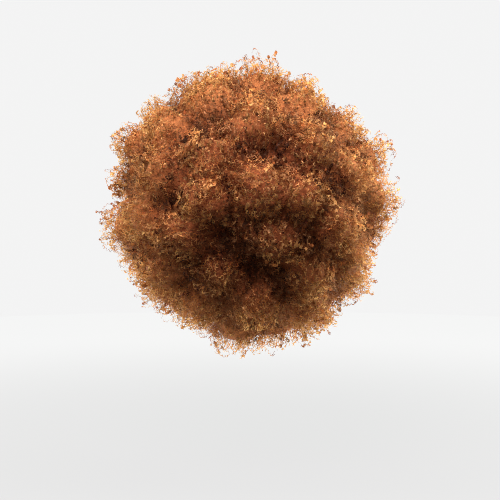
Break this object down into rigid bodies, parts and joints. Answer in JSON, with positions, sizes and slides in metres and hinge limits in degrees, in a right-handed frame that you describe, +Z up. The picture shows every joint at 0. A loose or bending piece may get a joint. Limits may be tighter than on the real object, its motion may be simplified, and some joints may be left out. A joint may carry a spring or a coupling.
{
  "type": "drawstring ponytail",
  "caption": "Round afro-puff ponytail: a ball of tight copper-brown curls sewn to a gathered net cap, drawn shut over a bun with a cord and held by combs.",
  "frame": {"origin": "middle of the net cap's mouth, where it sits on the wearer's head", "axes": "+Z up as worn, +Y out of the mouth towards the wearer's head so that the puff stands out along -Y, +X to the right of a viewer who looks at the puff's front"},
  "size_m": [0.3074, 0.2513, 0.3051],
  "materials": {
    "curls": "springy synthetic curls, soft sheen, darker at the roots",
    "net": "fine dark brown elastic net",
    "casing": "ruched matte woven band",
    "cord": "braided matte cord",
    "comb": "moulded, satin gloss"
  },
  "bodies": {
    "root": {"hair_puff": "curls", "net_cap": "net", "rim_casing": "casing", "drawstring": "cord", "comb_top": "comb", "comb_bottom": "comb"}
  },
  "joints": []
}
